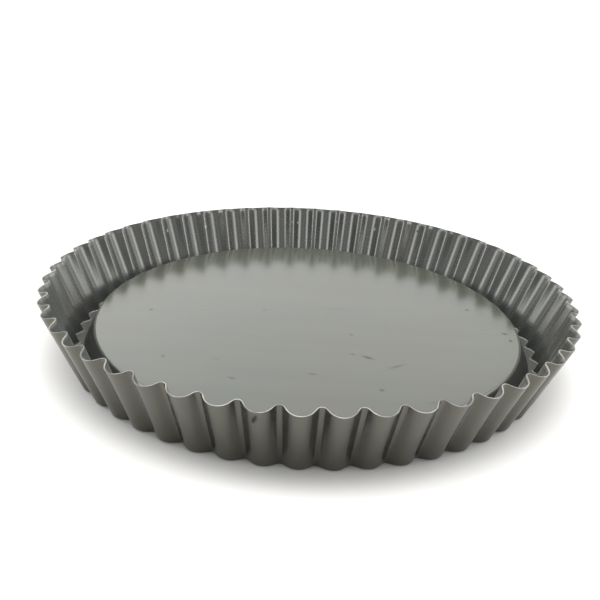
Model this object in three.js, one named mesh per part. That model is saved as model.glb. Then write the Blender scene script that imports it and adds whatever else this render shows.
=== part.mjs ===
// Fluted tart pan with a loose bottom: a pressed ring with a fluted wall, and a raised plate standing in it.
// Millimetres, +Z up. The pan's axis is the Z axis, it stands on z = 0, and one flute's lobe points along +X.
import * as THREE from 'three';

// Ring: diameters are across the outside of the lobes, and the ledge runs in from the toes of the ridges
const RIM_DIAMETER = 280;
const FOOT_DIAMETER = 251.6;
const LOBE_HEIGHT = 34;
const RIDGE_RISE = 1.6;
const RING_SHEET = 0.6;
const FOOT_BEND_RADIUS = 1.2;
const LEDGE_WIDTH = 7.4;

// Flutes: wide round lobes that bulge outwards, and narrow round ridges between them that point inwards
const FLUTE_COUNT = 53;
const RIM_FLUTE_DEPTH = 4.9;
const FOOT_FLUTE_DEPTH = 3.2;
const LOBE_RADIUS = 6.2;
const RIDGE_RADIUS = 2.8;

// Loose base: the skirt slopes out from the plateau's edge by the skirt run
const PLATEAU_HEIGHT = 13.4;
const SKIRT_RUN = 6;
const SHOULDER_RADIUS = 1.8;
const BASE_SHEET = 0.7;

// Clearances of the base in the ring: above the ledge, and beside the toes of the ridges
const SEAT_GAP = 0.3;
const TOE_GAP = 1.8;

// Facets
const FLUTE_ARC_STEPS = 2;
const SHOULDER_ARC_STEPS = 4;
const BASE_SEGMENTS = 106;

// Finish: dark satin non-stick coating
const COATING_COLOUR = 0x62635e;
const COATING_ROUGHNESS = 0.42;
const COATING_METALNESS = 0.55;

const FULL_TURN = 2 * Math.PI;
const QUARTER_TURN = Math.PI / 2;

const rimFlutes = { radius: RIM_DIAMETER / 2, depth: RIM_FLUTE_DEPTH };
const footFlutes = { radius: FOOT_DIAMETER / 2, depth: FOOT_FLUTE_DEPTH };
const outsideFace = { inset: 0, floor: 0, bend: FOOT_BEND_RADIUS + RING_SHEET };
const insideFace = { inset: RING_SHEET, floor: RING_SHEET, bend: FOOT_BEND_RADIUS };

// Half a flute unrolled flat, from the middle of a lobe (x = 0) to the middle of a ridge.
// y runs towards the pan's axis, and inset is the distance in from the sheet's outside face.
// The named arc radii are those of the inside face.
function halfFlute(pitch, depth, inset) {
  const half = pitch / 2;
  const widest = (half ** 2 + depth ** 2) / (2 * depth);
  const reach = Math.min(LOBE_RADIUS + RIDGE_RADIUS, widest);
  const straight = Math.sqrt(Math.max(half ** 2 + (reach - depth) ** 2 - reach ** 2, 0));
  const flank = Math.atan2(reach, straight) - Math.atan2(reach - depth, half);
  const ridge = Math.min(RIDGE_RADIUS, reach / 2) - RING_SHEET + inset;
  const lobe = reach - ridge;
  const path = new THREE.Path();
  path.absarc(0, inset + lobe, lobe, -QUARTER_TURN, flank - QUARTER_TURN, false);
  path.absarc(half, inset + depth - ridge, ridge, QUARTER_TURN + flank, QUARTER_TURN, true);
  return path.getPoints(FLUTE_ARC_STEPS / 2);
}

// The fluted outline at one height, all the way round.
// inward is how far a point lies from the lobes (0) to the ridges (1).
function fluteOutline({ radius, depth }, inset) {
  const pitch = (FULL_TURN * (radius - depth / 2)) / FLUTE_COUNT;
  const half = halfFlute(pitch, depth, inset);
  const mirrored = half.slice(1, -1).reverse().map((point) => new THREE.Vector2(pitch - point.x, point.y));
  const flute = [...half, ...mirrored];
  const outline = [];
  for (let index = 0; index < FLUTE_COUNT; index += 1) {
    for (const point of flute) {
      outline.push({
        angle: ((index + point.x / pitch) * FULL_TURN) / FLUTE_COUNT,
        radius: radius - point.y,
        inward: (point.y - inset) / depth,
      });
    }
  }
  return outline;
}

// The bend between wall and ledge on one face of the sheet, in a radial plane where x is the radius
function footBend(rim, foot, { floor, bend }) {
  const corner = foot.clone().lerp(rim, floor / rim.y);
  const lean = Math.atan2(rim.x - corner.x, rim.y - corner.y);
  const tangent = bend * Math.tan((QUARTER_TURN - lean) / 2);
  return { lean, centre: new THREE.Vector2(corner.x - tangent, floor + bend) };
}

// The radius at which the ledge's top is flat all the way round: the end of the foot bend under a ridge
function toeRadius() {
  const rim = new THREE.Vector2(rimFlutes.radius - RING_SHEET - RIM_FLUTE_DEPTH, LOBE_HEIGHT + RIDGE_RISE);
  const foot = new THREE.Vector2(footFlutes.radius - RING_SHEET - FOOT_FLUTE_DEPTH, 0);
  return footBend(rim, foot, insideFace).centre.x;
}

// One face of the ring's sheet in a radial plane: rim, straight wall, foot bend and ledge
function wallProfile(rim, foot, face) {
  const { lean, centre } = footBend(rim, foot, face);
  const path = new THREE.Path();
  path.moveTo(rim.x, rim.y);
  path.lineTo(centre.x + face.bend * Math.cos(lean), centre.y - face.bend * Math.sin(lean));
  path.absarc(centre.x, centre.y, face.bend, -lean, -QUARTER_TURN, true);
  path.lineTo(toeRadius() - LEDGE_WIDTH, face.floor);
  return path.getPoints(FLUTE_ARC_STEPS / 2);
}

// One face of the ring's sheet as columns of points, one column for each point of the fluted outline
function ringFace(face) {
  const rimOutline = fluteOutline(rimFlutes, face.inset);
  const footOutline = fluteOutline(footFlutes, face.inset);
  return rimOutline.map((rimPoint, column) => {
    const footPoint = footOutline[column];
    const rim = new THREE.Vector2(rimPoint.radius, LOBE_HEIGHT + RIDGE_RISE * rimPoint.inward);
    const foot = new THREE.Vector2(footPoint.radius, 0);
    return wallProfile(rim, foot, face).map(({ x, y }) => {
      const angle = THREE.MathUtils.lerp(footPoint.angle, rimPoint.angle, y / rim.y);
      return new THREE.Vector3(x * Math.cos(angle), x * Math.sin(angle), y);
    });
  });
}

// Closed ring-shaped body: each column of points is a closed loop, and the last column meets the first
function loopedLoft(columns) {
  const rows = columns[0].length;
  const index = [];
  columns.forEach((_, column) => {
    const here = column * rows;
    const next = ((column + 1) % columns.length) * rows;
    for (let row = 0; row < rows; row += 1) {
      const below = (row + 1) % rows;
      index.push(here + row, here + below, next + row);
      index.push(next + row, here + below, next + below);
    }
  });
  const geometry = new THREE.BufferGeometry().setFromPoints(columns.flat());
  geometry.setIndex(index);
  geometry.computeVertexNormals();
  return geometry;
}

function flutedRing() {
  const outside = ringFace(outsideFace);
  const inside = ringFace(insideFace);
  return loopedLoft(outside.map((column, index) => [...column, ...inside[index].toReversed()]));
}

// One face of the base plate, from the axis to the skirt's cut edge.
// depth is the distance below the top face: 0 on top, the sheet's thickness underneath.
function basePath(depth) {
  const seat = RING_SHEET + SEAT_GAP;
  const footRadius = toeRadius() - TOE_GAP;
  const slope = Math.atan2(PLATEAU_HEIGHT - seat, SKIRT_RUN);
  const bendRadius = footRadius - SKIRT_RUN - SHOULDER_RADIUS * Math.tan(slope / 2);
  const bendHeight = PLATEAU_HEIGHT - SHOULDER_RADIUS;
  const bend = SHOULDER_RADIUS - depth;
  const path = new THREE.Path();
  path.moveTo(0, PLATEAU_HEIGHT - depth);
  path.lineTo(bendRadius, PLATEAU_HEIGHT - depth);
  path.absarc(bendRadius, bendHeight, bend, QUARTER_TURN, QUARTER_TURN - slope, true);
  path.lineTo(footRadius - depth / Math.sin(slope), seat);
  return path.getPoints(SHOULDER_ARC_STEPS / 2);
}

function looseBase() {
  const outline = [...basePath(BASE_SHEET), ...basePath(0).toReversed()];
  return new THREE.LatheGeometry(outline, BASE_SEGMENTS).rotateX(QUARTER_TURN);
}

function coated(name, geometry) {
  const material = new THREE.MeshStandardMaterial({
    color: COATING_COLOUR,
    roughness: COATING_ROUGHNESS,
    metalness: COATING_METALNESS,
  });
  const mesh = new THREE.Mesh(geometry, material);
  mesh.name = name;
  return mesh;
}

const pan = new THREE.Group();
pan.add(coated('fluted_ring', flutedRing()));
pan.add(coated('loose_base', looseBase()));

export default pan;
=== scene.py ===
"""Looks of a fluted tart pan with a loose raised base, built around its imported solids, in metres."""

import math

import bpy
import numpy as np
from mathutils import Matrix, Vector


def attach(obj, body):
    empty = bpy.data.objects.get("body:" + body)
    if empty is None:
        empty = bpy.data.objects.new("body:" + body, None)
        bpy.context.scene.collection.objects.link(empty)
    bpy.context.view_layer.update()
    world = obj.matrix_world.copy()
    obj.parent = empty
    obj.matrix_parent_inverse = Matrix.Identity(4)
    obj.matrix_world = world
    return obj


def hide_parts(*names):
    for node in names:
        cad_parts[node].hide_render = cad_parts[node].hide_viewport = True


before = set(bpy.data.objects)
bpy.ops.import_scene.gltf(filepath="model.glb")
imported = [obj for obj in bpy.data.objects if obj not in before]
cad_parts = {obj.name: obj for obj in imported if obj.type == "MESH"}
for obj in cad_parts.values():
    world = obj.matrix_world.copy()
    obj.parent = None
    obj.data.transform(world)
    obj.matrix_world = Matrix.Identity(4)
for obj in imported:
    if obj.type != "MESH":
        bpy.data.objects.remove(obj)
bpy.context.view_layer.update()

MM = 0.001

# Ring, as in the solids
RIM_RADIUS = 140 * MM
FOOT_RADIUS = 125.8 * MM
LOBE_HEIGHT = 34 * MM
RIDGE_RISE = 1.6 * MM
RING_SHEET = 0.6 * MM
FOOT_BEND = 1.2 * MM
LEDGE_WIDTH = 7.4 * MM
FLUTE_COUNT = 53
RIM_FLUTE_DEPTH = 4.9 * MM
FOOT_FLUTE_DEPTH = 3.2 * MM
LOBE_ARC = 6.2 * MM
RIDGE_ARC = 2.8 * MM

# Base plate, as in the solids
PLATEAU_HEIGHT = 13.4 * MM
SKIRT_RUN = 6 * MM
SHOULDER = 1.8 * MM
BASE_SHEET = 0.7 * MM
SEAT_GAP = 0.3 * MM
TOE_GAP = 1.8 * MM

# Order of the ring's and the base's materials
OUTSIDE_SLOT, EDGE_SLOT, INSIDE_SLOT, LEDGE_SLOT = range(4)
PLATEAU_SLOT, SKIRT_SLOT = range(2)

# Fineness of the meshes
LOBE_STEPS = 8
FLAT_STEPS = 2
RIDGE_STEPS = 8
WALL_STEPS = 14
BEND_STEPS = 6
LEDGE_STEPS = 3
RIM_ROUNDING = 0.1 * MM
BASE_SEGMENTS = 318
PLATEAU_RINGS = 14
SHOULDER_STEPS = 10
SKIRT_STEPS = 6
SHARP_ANGLE = math.radians(50)

# Camera, in the photograph's frame of 600 by 600, with its turns in radians
FOCAL_PIXELS = 762.709
FRAME_PIXELS = 600
SENSOR_WIDTH = 36
CAMERA_PLACE = (0, -383.434 * MM, 183.086 * MM)
CAMERA_TARGET = (-5.513 * MM, 52.314 * MM, 0)
CAMERA_ROLL = 0.0558
LOBE_TURN = 0.0336
CLIP_NEAR = 0.01
CLIP_FAR = 500

# Coatings: copies of one satin coat told apart by painted light and shade: dark outside the ring (painted
# shade), paler inside it and palest on the plateau (painted light), duller in the channel (painted shade)
OUTSIDE_COLOUR = (0.0044, 0.0043, 0.0036)
OUTSIDE_ROUGHNESS = 0.25
OUTSIDE_IOR = 2
# Warm tint of the outside's gloss: painted light, standing for warm light bounced off the floor
OUTSIDE_GLOSS = (1, 0.985, 0.84, 1)
INSIDE_COLOUR = (0.05, 0.053, 0.0494)
INSIDE_ROUGHNESS = 0.26
INSIDE_IOR = 2.2
INSIDE_GLOSS = (0.98, 1, 0.94, 1)
# Ledge: a copy of the inside coat with a paler colour (painted light) and a weaker gloss (painted shade in
# the channel)
LEDGE_COLOUR = (0.06, 0.063, 0.058)
LEDGE_ROUGHNESS = 0.38
LEDGE_IOR = 1.45
# Skirt: a copy of the coat painted darker, with a weaker gloss: painted shade in the channel
SKIRT_COLOUR = (0.03, 0.0315, 0.029)
SKIRT_ROUGHNESS = 0.4
SKIRT_IOR = 1.35
BASE_COLOUR = (0.062, 0.0665, 0.0535)
BASE_ROUGHNESS = 0.17
BASE_IOR = 1.66
BASE_GLOSS = (0.98, 1, 0.95, 1)

# Unevenness of the coatings: patterns in cells per metre, tints of blotches, shades of streaks, and marks
BLOTCHES = 22
STREAKS = 60
STREAK_STRETCH = (0.12, 1, 1)
GRAIN = 900
GRAIN_DEPTH = 0.08
NOISE_DETAIL = 3
PATTERN_CONTRAST = 3
COOL_TINT = (0.96, 1.015, 1.02)
WARM_TINT = (1.04, 0.985, 0.95)
DULL = 0.95
FRESH = 1.05
SCRATCH_COLOUR = (0.012, 0.012, 0.011, 1)
SCRATCH_GLOSS = (0.1, 0.1, 0.1, 1)
SCRATCH_ROUGHENING = 0.4
CHIP_COLOUR = (0.62, 0.62, 0.58, 1)

# Cut edge of the sheet
EDGE_WEAR = 130
EDGE_DULL = (0.15, 0.145, 0.13, 1)
EDGE_BRIGHT = (0.38, 0.365, 0.33, 1)
EDGE_ROUGHNESS = 0.5

# Marks on the plateau: x, y, length, width in millimetres, turn in degrees, strength
BASE_MARKS = (
    (32.3, -46.4, 6, 2, -26, 0.65),
    (46, -53.7, 9.6, 1.6, 38, 0.4),
    (24.9, -43.9, 2.8, 1.7, -6, 0.4),
    (6, -67.7, 4, 1.6, -8, 0.45),
    (38.2, -77.9, 2, 2, -19, 0.65),
    (106.1, -5.8, 3, 2, -18, 0.6),
    (107.8, -14.2, 2.6, 1.6, -88, 0.65),
    (90, 23.7, 2, 2.2, 11, 0.5),
    (23.8, -21.4, 2, 2, -22, 0.45),
    (-30.6, -77.6, 3.4, 1.6, -13, 0.5),
    (-66.2, -61.3, 2.4, 2, -53, 0.4),
    (-85.2, -8.5, 2.2, 2, -39, 0.4),
    (-40.7, -60.4, 4.4, 1.5, 2, 0.22),
    (-24, 2.3, 3.6, 2, 11, 0.22),
    (14.6, 11, 19, 1.6, 6, 0.13),
    (61.4, -85.3, 6, 1.8, 19, 0.26),
)

# Wall marks: flutes from +X, height in mm, share from lobe to ridge, tallness and width in mm, strength
OUTSIDE_DARK = (
    (38.9, 28.3, 0, 2.2, 1.3, 1),
    (38.94, 29.8, 0, 2.6, 1.7, 1),
    (38.98, 31.3, 0, 2.2, 1.3, 0.8),
)
INSIDE_DARK = ((8.93, 28.7, 0, 1.4, 1.2, 1),)
INSIDE_LIGHT = (
    (20.2, 25.8, 0.18, 1.8, 1.6, 0.8),
    (18.5, 25.8, 1, 1.6, 1.3, 0.6),
    (14.24, 24.9, 0.3, 1.4, 1.3, 0.6),
    (10.8, 25.1, 0.18, 1.6, 1.3, 0.7),
    (14.5, 26.1, 1, 1.2, 1, 0.3),
    (12.5, 27.9, 1, 1.2, 1, 0.3),
)

# Floor
FLOOR_RADIUS = 200
FLOOR_SIDES = 96
FLOOR_COLOUR = (0.84, 0.835, 0.82, 1)
FLOOR_ROUGHNESS = 0.9

# Soft lights: azimuth (0 is +X, 90 is behind the pan), elevation, spread, all in degrees, and strength
LIGHTS = {
    "overhead": (270, 88, 15, 8.6),
    "left box": (166, 43, 14, 5),
    "right box": (20, 46, 14, 4.5),
    "right low": (21, 22, 19, 1.4),
    "backdrop left": (124, 24, 24, 2.1),
    "backdrop right": (72, 24, 24, 1.35),
    "front fill": (270, 19, 20, 0.75),
    "front left": (211, 18, 13, 3.7),
    "front right": (329, 18, 13, 3.8),
}

WHITE = (1, 1, 1, 1)
QUARTER = math.pi / 2

# Places of the colour sockets on Blender's mix node
MIX_INPUTS = (0, 6, 7)
MIX_OUTPUT = 2


# Meshes
def half_flute(pitch, depth, inset):
    """Half a flute unrolled flat: x from a lobe's middle to a ridge's middle, y towards the pan's axis."""
    half = pitch / 2
    reach = LOBE_ARC + RIDGE_ARC
    straight = math.sqrt(half**2 + (reach - depth) ** 2 - reach**2)
    flank = math.atan2(reach, straight) - math.atan2(reach - depth, half)
    ridge = RIDGE_ARC - RING_SHEET + inset
    lobe = reach - ridge
    lobe_turn = np.linspace(0, flank, LOBE_STEPS + 1)
    ridge_turn = np.linspace(flank, 0, RIDGE_STEPS + 1)
    lobe_points = np.stack([lobe * np.sin(lobe_turn), inset + lobe * (1 - np.cos(lobe_turn))], 1)
    ridge_points = np.stack(
        [half - ridge * np.sin(ridge_turn), inset + depth - ridge * (1 - np.cos(ridge_turn))], 1
    )
    share = np.linspace(0, 1, FLAT_STEPS + 1)[1:-1, None]
    flat_points = lobe_points[-1] * (1 - share) + ridge_points[0] * share
    return np.concatenate([lobe_points, flat_points, ridge_points])


def flute_outline(radius, depth, inset):
    """Angles, radii and inward shares (0 on a lobe, 1 on a ridge) of the fluted outline at one height."""
    pitch = math.tau * (radius - depth / 2) / FLUTE_COUNT
    half = half_flute(pitch, depth, inset)
    mirrored = half[-2:0:-1] * (-1, 1) + (pitch, 0)
    flute = np.concatenate([half, mirrored])
    turns = np.arange(FLUTE_COUNT)[:, None] + flute[None, :, 0] / pitch
    angles = turns.ravel() * math.tau / FLUTE_COUNT
    radii = np.tile(radius - flute[:, 1], FLUTE_COUNT)
    inward = np.tile((flute[:, 1] - inset) / depth, FLUTE_COUNT)
    return angles, radii, inward


def foot_bend(rim_radius, rim_height, foot_radius, floor, bend):
    """Lean of the wall, and radius of the centre of the bend at its foot."""
    corner = foot_radius + (rim_radius - foot_radius) * floor / rim_height
    lean = np.arctan2(rim_radius - corner, rim_height - floor)
    return lean, corner - bend * np.tan((QUARTER - lean) / 2)


def toe_radius():
    """Radius at which the ledge's top is flat all the way round."""
    inset = RING_SHEET
    rim = RIM_RADIUS - inset - RIM_FLUTE_DEPTH
    foot = FOOT_RADIUS - inset - FOOT_FLUTE_DEPTH
    return float(foot_bend(rim, LOBE_HEIGHT + RIDGE_RISE, foot, inset, FOOT_BEND)[1])


def ring_face(inset, bend):
    """One face of the ring's sheet as rows, from the rim to the ledge's inner edge, by columns."""
    rim_angle, rim_radius, inward = flute_outline(RIM_RADIUS, RIM_FLUTE_DEPTH, inset)
    foot_angle, foot_radius, _ = flute_outline(FOOT_RADIUS, FOOT_FLUTE_DEPTH, inset)
    rim_height = LOBE_HEIGHT + RIDGE_RISE * inward
    lean, centre = foot_bend(rim_radius, rim_height, foot_radius, inset, bend)
    bend_top = (centre + bend * np.cos(lean), inset + bend - bend * np.sin(lean))
    rows = []
    for share in np.linspace(0, 1, WALL_STEPS + 1):
        radius = rim_radius + (bend_top[0] - rim_radius) * share
        height = rim_height + (bend_top[1] - rim_height) * share
        rows.append([radius, height])
    for share in np.linspace(0, 1, BEND_STEPS + 1)[1:]:
        turn = -lean + (lean - QUARTER) * share
        rows.append([centre + bend * np.cos(turn), inset + bend + bend * np.sin(turn)])
    inner = toe_radius() - LEDGE_WIDTH
    for share in np.linspace(0, 1, LEDGE_STEPS + 1)[1:]:
        rows.append([centre + (inner - centre) * share, np.full_like(centre, inset)])
    radius, height = np.array(rows).transpose(1, 0, 2)
    angle = foot_angle + (rim_angle - foot_angle) * height / rim_height
    return np.stack([radius * np.cos(angle), radius * np.sin(angle), height], 2)


def mesh_object(name, points, faces, slots):
    mesh = bpy.data.meshes.new(name)
    mesh.from_pydata(points.tolist(), [], faces)
    mesh.polygons.foreach_set("use_smooth", np.ones(len(mesh.polygons), bool))
    mesh.polygons.foreach_set("material_index", np.array(slots, np.int32))
    mesh.update()
    mesh.set_sharp_from_angle(angle=SHARP_ANGLE)
    piece = bpy.data.objects.new(name, mesh)
    bpy.context.scene.collection.objects.link(piece)
    return piece


def make_ring():
    """The fluted ring as one closed sheet with a softened cut rim."""
    outside = ring_face(0, FOOT_BEND + RING_SHEET)
    inside = ring_face(RING_SHEET, FOOT_BEND)
    across = inside[0] - outside[0]
    across /= np.linalg.norm(across, axis=1, keepdims=True)
    rim = [outside[0] + across * RIM_ROUNDING, inside[0] - across * RIM_ROUNDING]
    outside[0, :, 2] -= RIM_ROUNDING
    inside[0, :, 2] -= RIM_ROUNDING
    rows = np.concatenate([outside, inside[::-1], rim[::-1]])
    count, columns = rows.shape[:2]
    # The ledge rows take the channel's copy of the coat: painted light and shade
    row_slots = [OUTSIDE_SLOT] * len(outside) + [LEDGE_SLOT] * LEDGE_STEPS
    row_slots += [INSIDE_SLOT] * (len(inside) - 1 - LEDGE_STEPS) + [EDGE_SLOT] * (len(rim) + 1)
    faces, slots = [], []
    for row, slot in enumerate(row_slots):
        here = row * columns
        under = (row + 1) % count * columns
        for column in range(columns):
            beside = (column + 1) % columns
            faces.append((here + column, under + column, under + beside, here + beside))
            slots.append(slot)
    return mesh_object("ring_detail", rows.reshape(-1, 3), faces, slots)


def base_face(depth):
    """Radius and height of one face of the base plate, from just off the axis to the skirt's cut edge."""
    seat = RING_SHEET + SEAT_GAP
    foot = toe_radius() - TOE_GAP
    slope = math.atan2(PLATEAU_HEIGHT - seat, SKIRT_RUN)
    centre = foot - SKIRT_RUN - SHOULDER * math.tan(slope / 2)
    bend = SHOULDER - depth
    points = [(centre * step / PLATEAU_RINGS, PLATEAU_HEIGHT - depth) for step in range(1, PLATEAU_RINGS)]
    for turn in np.linspace(0, slope, SHOULDER_STEPS + 1):
        points.append((centre + bend * math.sin(turn), PLATEAU_HEIGHT - SHOULDER + bend * math.cos(turn)))
    top = np.array(points[-1])
    end = np.array((foot - depth / math.sin(slope), seat))
    for share in np.linspace(0, 1, SKIRT_STEPS + 1)[1:]:
        points.append(tuple(top + (end - top) * share))
    return points


def make_base():
    """The raised base plate as one closed sheet, open underneath."""
    profile = base_face(0) + base_face(BASE_SHEET)[::-1]
    angles = np.arange(BASE_SEGMENTS) * math.tau / BASE_SEGMENTS
    points = [(0, 0, PLATEAU_HEIGHT), (0, 0, PLATEAU_HEIGHT - BASE_SHEET)]
    first = len(points)
    last = first + (len(profile) - 1) * BASE_SEGMENTS
    for radius, height in profile:
        points.extend(zip(radius * np.cos(angles), radius * np.sin(angles), [height] * BASE_SEGMENTS))
    # Rows past the middle of the shoulder take the skirt's darker copy of the coat: painted shade
    plateau_rows = PLATEAU_RINGS - 1 + SHOULDER_STEPS
    row_slots = [PLATEAU_SLOT] * plateau_rows + [SKIRT_SLOT] * (len(profile) - 1 - plateau_rows)
    faces, slots = [], []
    for segment in range(BASE_SEGMENTS):
        beside = (segment + 1) % BASE_SEGMENTS
        faces.append((0, first + segment, first + beside))
        faces.append((1, last + beside, last + segment))
        slots += [PLATEAU_SLOT, SKIRT_SLOT]
        for row, slot in enumerate(row_slots):
            here = first + row * BASE_SEGMENTS
            under = here + BASE_SEGMENTS
            faces.append((here + segment, under + segment, under + beside, here + beside))
            slots.append(slot)
    return mesh_object("base_detail", np.array(points, float), faces, slots)


# Materials
def feed(tree, sockets, values):
    """Link or set each socket, depending on whether its value is a socket."""
    for socket, value in zip(sockets, values):
        if isinstance(value, bpy.types.NodeSocket):
            tree.links.new(value, socket)
        else:
            socket.default_value = value


def math_node(tree, operation, *values):
    """A maths node fed with numbers or sockets; returns its output socket."""
    node = tree.nodes.new("ShaderNodeMath")
    node.operation = operation
    feed(tree, node.inputs, values)
    return node.outputs["Value"]


def mix_colours(tree, factor, first, second):
    """Blend of two colours; the factor and the colours are sockets or values."""
    node = tree.nodes.new("ShaderNodeMix")
    node.data_type = "RGBA"
    feed(tree, [node.inputs[index] for index in MIX_INPUTS], (factor, first, second))
    return node.outputs[MIX_OUTPUT]


def noise(tree, point, scale, stretch=(1, 1, 1)):
    """Cloudy pattern around 0.5, drawn out along the axes where the stretch is small."""
    placed = tree.nodes.new("ShaderNodeMapping")
    placed.inputs["Scale"].default_value = stretch
    tree.links.new(point, placed.inputs["Vector"])
    pattern = tree.nodes.new("ShaderNodeTexNoise")
    pattern.inputs["Scale"].default_value = scale
    pattern.inputs["Detail"].default_value = NOISE_DETAIL
    tree.links.new(placed.outputs["Vector"], pattern.inputs["Vector"])
    return pattern.outputs["Fac"]


def patches(tree, point, scale, stretch=(1, 1, 1)):
    """The cloudy pattern with more contrast, still around 0.5."""
    pattern = noise(tree, point, scale, stretch)
    return math_node(tree, "MULTIPLY_ADD", pattern, PATTERN_CONTRAST, (1 - PATTERN_CONTRAST) / 2)


def spot(tree, point, place, size, turn, strength):
    """Soft oval spot: strongest at its place, faded to about a third at its size."""
    placed = tree.nodes.new("ShaderNodeMapping")
    placed.vector_type = "TEXTURE"
    placed.inputs["Location"].default_value = place
    placed.inputs["Rotation"].default_value = (0, 0, turn)
    placed.inputs["Scale"].default_value = size
    tree.links.new(point, placed.inputs["Vector"])
    away = tree.nodes.new("ShaderNodeVectorMath")
    away.operation = "LENGTH"
    tree.links.new(placed.outputs["Vector"], away.inputs[0])
    falloff = math_node(tree, "MULTIPLY", math_node(tree, "POWER", away.outputs["Value"], 2), -1)
    return math_node(tree, "MULTIPLY", math_node(tree, "EXPONENT", falloff), strength)


def all_spots(tree, point, spots):
    total = 0
    for place, size, turn, strength in spots:
        total = math_node(tree, "ADD", total, spot(tree, point, place, size, turn, strength))
    return math_node(tree, "MINIMUM", total, 1)


def new_material(name):
    material = bpy.data.materials.new(name)
    material.use_nodes = True
    tree = material.node_tree
    return material, tree, tree.nodes["Principled BSDF"]


def tinted(colour, tint, shade):
    return (*[channel * share * shade for channel, share in zip(colour, tint)], 1)


def coating(name, colour, roughness, ior, gloss, dark_spots=(), light_spots=()):
    """Satin non-stick coating: cool and warm blotches, drawn-out streaks, fine grain and marks of use."""
    material, tree, shader = new_material(name)
    point = tree.nodes.new("ShaderNodeTexCoord").outputs["Object"]
    blotches = patches(tree, point, BLOTCHES)
    streaks = patches(tree, point, STREAKS, STREAK_STRETCH)
    grain = noise(tree, point, GRAIN)
    cool = mix_colours(tree, streaks, tinted(colour, COOL_TINT, DULL), tinted(colour, COOL_TINT, FRESH))
    warm = mix_colours(tree, streaks, tinted(colour, WARM_TINT, DULL), tinted(colour, WARM_TINT, FRESH))
    paint = mix_colours(tree, blotches, cool, warm)
    worn = all_spots(tree, point, dark_spots)
    paint = mix_colours(tree, worn, paint, SCRATCH_COLOUR)
    paint = mix_colours(tree, all_spots(tree, point, light_spots), paint, CHIP_COLOUR)
    tree.links.new(paint, shader.inputs["Base Color"])
    grainy = math_node(tree, "MULTIPLY_ADD", grain, GRAIN_DEPTH, roughness - GRAIN_DEPTH / 2)
    rough = math_node(tree, "MULTIPLY_ADD", worn, SCRATCH_ROUGHENING, grainy)
    tree.links.new(rough, shader.inputs["Roughness"])
    shader.inputs["Metallic"].default_value = 0
    shader.inputs["IOR"].default_value = ior
    if dark_spots:
        tree.links.new(mix_colours(tree, worn, gloss, SCRATCH_GLOSS), shader.inputs["Specular Tint"])
    else:
        shader.inputs["Specular Tint"].default_value = gloss
    return material


def bare_edge():
    """Cut edge of the sheet, rubbed bright in places."""
    material, tree, shader = new_material("cut_edge")
    point = tree.nodes.new("ShaderNodeTexCoord").outputs["Object"]
    rubbed = patches(tree, point, EDGE_WEAR)
    tree.links.new(mix_colours(tree, rubbed, EDGE_DULL, EDGE_BRIGHT), shader.inputs["Base Color"])
    shader.inputs["Metallic"].default_value = 1
    shader.inputs["Roughness"].default_value = EDGE_ROUGHNESS
    return material


def base_spots():
    """Scratches and specks on the plateau as places, sizes, turns and strengths."""
    spots = []
    for x, y, length, width, turn, strength in BASE_MARKS:
        place = (x * MM, y * MM, PLATEAU_HEIGHT)
        size = (length / 2 * MM, width / 2 * MM, BASE_SHEET / 2)
        spots.append((place, size, math.radians(turn), strength))
    return spots


def wall_spots(marks, inset):
    """Marks on one face of the wall as places, sizes, turns and strengths."""
    spots = []
    for flute, height, inward, tall, wide, strength in marks:
        share = height * MM / (LOBE_HEIGHT + RIDGE_RISE * inward)
        lobe = FOOT_RADIUS + (RIM_RADIUS - FOOT_RADIUS) * share
        depth = FOOT_FLUTE_DEPTH + (RIM_FLUTE_DEPTH - FOOT_FLUTE_DEPTH) * share
        radius = lobe - inset - depth * inward
        turn = flute * math.tau / FLUTE_COUNT
        place = (radius * math.cos(turn), radius * math.sin(turn), height * MM)
        size = (tall / 2 * MM, wide / 2 * MM, tall / 2 * MM)
        spots.append((place, size, turn, strength))
    return spots


# Pieces
ring = make_ring()
# Outside and inside of the ring take copies of one coat: the outside painted near black as painted shade,
# the inside paler
outside_marks = wall_spots(OUTSIDE_DARK, 0)
ring.data.materials.append(
    coating("outside_satin", OUTSIDE_COLOUR, OUTSIDE_ROUGHNESS, OUTSIDE_IOR, OUTSIDE_GLOSS, outside_marks)
)
ring.data.materials.append(bare_edge())
inside_marks = [wall_spots(marks, RING_SHEET) for marks in (INSIDE_DARK, INSIDE_LIGHT)]
ring.data.materials.append(
    coating("inside_satin", INSIDE_COLOUR, INSIDE_ROUGHNESS, INSIDE_IOR, INSIDE_GLOSS, *inside_marks)
)
# Ledge coat: paler colour and weaker gloss, painted light and shade in the channel
ring.data.materials.append(
    coating("ledge_satin", LEDGE_COLOUR, LEDGE_ROUGHNESS, LEDGE_IOR, INSIDE_GLOSS)
)
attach(ring, "ring")
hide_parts("fluted_ring")

base = make_base()
# The plateau's copy of the coat is painted palest: painted light standing for the bright surroundings it
# reflects
base.data.materials.append(
    coating("base_satin", BASE_COLOUR, BASE_ROUGHNESS, BASE_IOR, BASE_GLOSS, base_spots())
)
# Skirt coat: darker colour and weaker gloss, painted shade
base.data.materials.append(
    coating("skirt_painted_shade", SKIRT_COLOUR, SKIRT_ROUGHNESS, SKIRT_IOR, INSIDE_GLOSS)
)
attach(base, "base")
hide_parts("loose_base")


# Floor, light and camera
def make_floor():
    bpy.ops.mesh.primitive_circle_add(vertices=FLOOR_SIDES, radius=FLOOR_RADIUS, fill_type="NGON")
    floor = bpy.context.object
    floor.name = "floor"
    material, _, shader = new_material("pale_floor")
    shader.inputs["Base Color"].default_value = FLOOR_COLOUR
    shader.inputs["Roughness"].default_value = FLOOR_ROUGHNESS
    shader.inputs["Specular IOR Level"].default_value = 0
    floor.data.materials.append(material)


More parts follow.
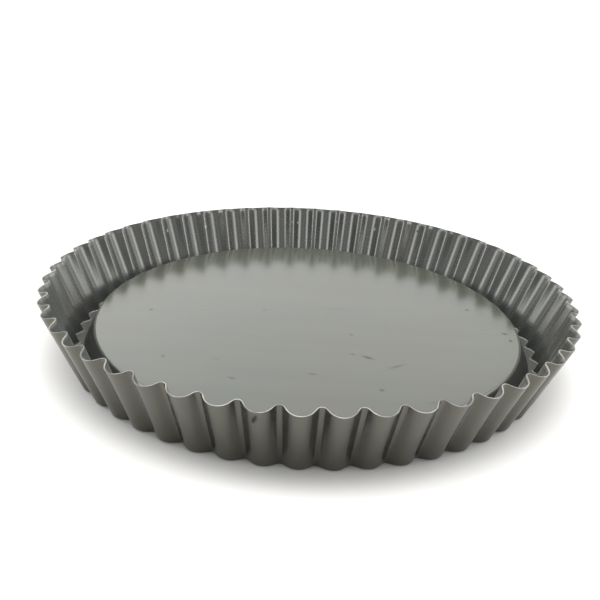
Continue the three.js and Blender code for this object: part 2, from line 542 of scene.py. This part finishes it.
def soft_light(tree, azimuth, elevation, spread, strength):
    """Brightness of one round soft light in the sky, halved at the spread angle from its middle."""
    across = math.cos(math.radians(elevation))
    axis = (
        across * math.cos(math.radians(azimuth)),
        across * math.sin(math.radians(azimuth)),
        math.sin(math.radians(elevation)),
    )
    direction = tree.nodes.new("ShaderNodeTexCoord").outputs["Generated"]
    nearness = tree.nodes.new("ShaderNodeVectorMath")
    nearness.operation = "DOT_PRODUCT"
    nearness.inputs[1].default_value = axis
    tree.links.new(direction, nearness.inputs[0])
    sharpness = math.log(2) / (1 - math.cos(math.radians(spread)))
    falloff = math_node(tree, "MULTIPLY_ADD", nearness.outputs["Value"], sharpness, -sharpness)
    glow = math_node(tree, "EXPONENT", falloff)
    return math_node(tree, "MULTIPLY", glow, strength)


def make_world():
    """Soft studio light: from above, from both sides, from a lit backdrop and from the front.

    What is seen above the floor is white paper.
    """
    world = bpy.data.worlds.new("studio")
    world.use_nodes = True
    tree = world.node_tree
    total = 0
    for light in LIGHTS.values():
        total = math_node(tree, "ADD", total, soft_light(tree, *light))
    paper = tree.nodes.new("ShaderNodeLightPath").outputs["Is Camera Ray"]
    background = tree.nodes["Background"]
    background.inputs["Color"].default_value = WHITE
    tree.links.new(math_node(tree, "MAXIMUM", total, paper), background.inputs["Strength"])
    bpy.context.scene.world = world


def make_camera():
    turn = Matrix.Rotation(LOBE_TURN, 3, "Z")
    place = turn @ Vector(CAMERA_PLACE)
    forward = (turn @ Vector(CAMERA_TARGET) - place).normalized()
    right = forward.cross(Vector((0, 0, 1))).normalized()
    up = right.cross(forward)
    side = math.cos(CAMERA_ROLL) * right + math.sin(CAMERA_ROLL) * up
    top = math.cos(CAMERA_ROLL) * up - math.sin(CAMERA_ROLL) * right
    data = bpy.data.cameras.new("camera")
    data.sensor_width = SENSOR_WIDTH
    data.lens = FOCAL_PIXELS * SENSOR_WIDTH / FRAME_PIXELS
    data.clip_start = CLIP_NEAR
    data.clip_end = CLIP_FAR
    camera = bpy.data.objects.new("camera", data)
    bpy.context.scene.collection.objects.link(camera)
    axes = Matrix((side, top, -forward)).transposed().to_4x4()
    camera.matrix_world = Matrix.Translation(place) @ axes
    bpy.context.scene.camera = camera


make_floor()
make_world()
make_camera()
bpy.context.scene.view_settings.view_transform = "Standard"
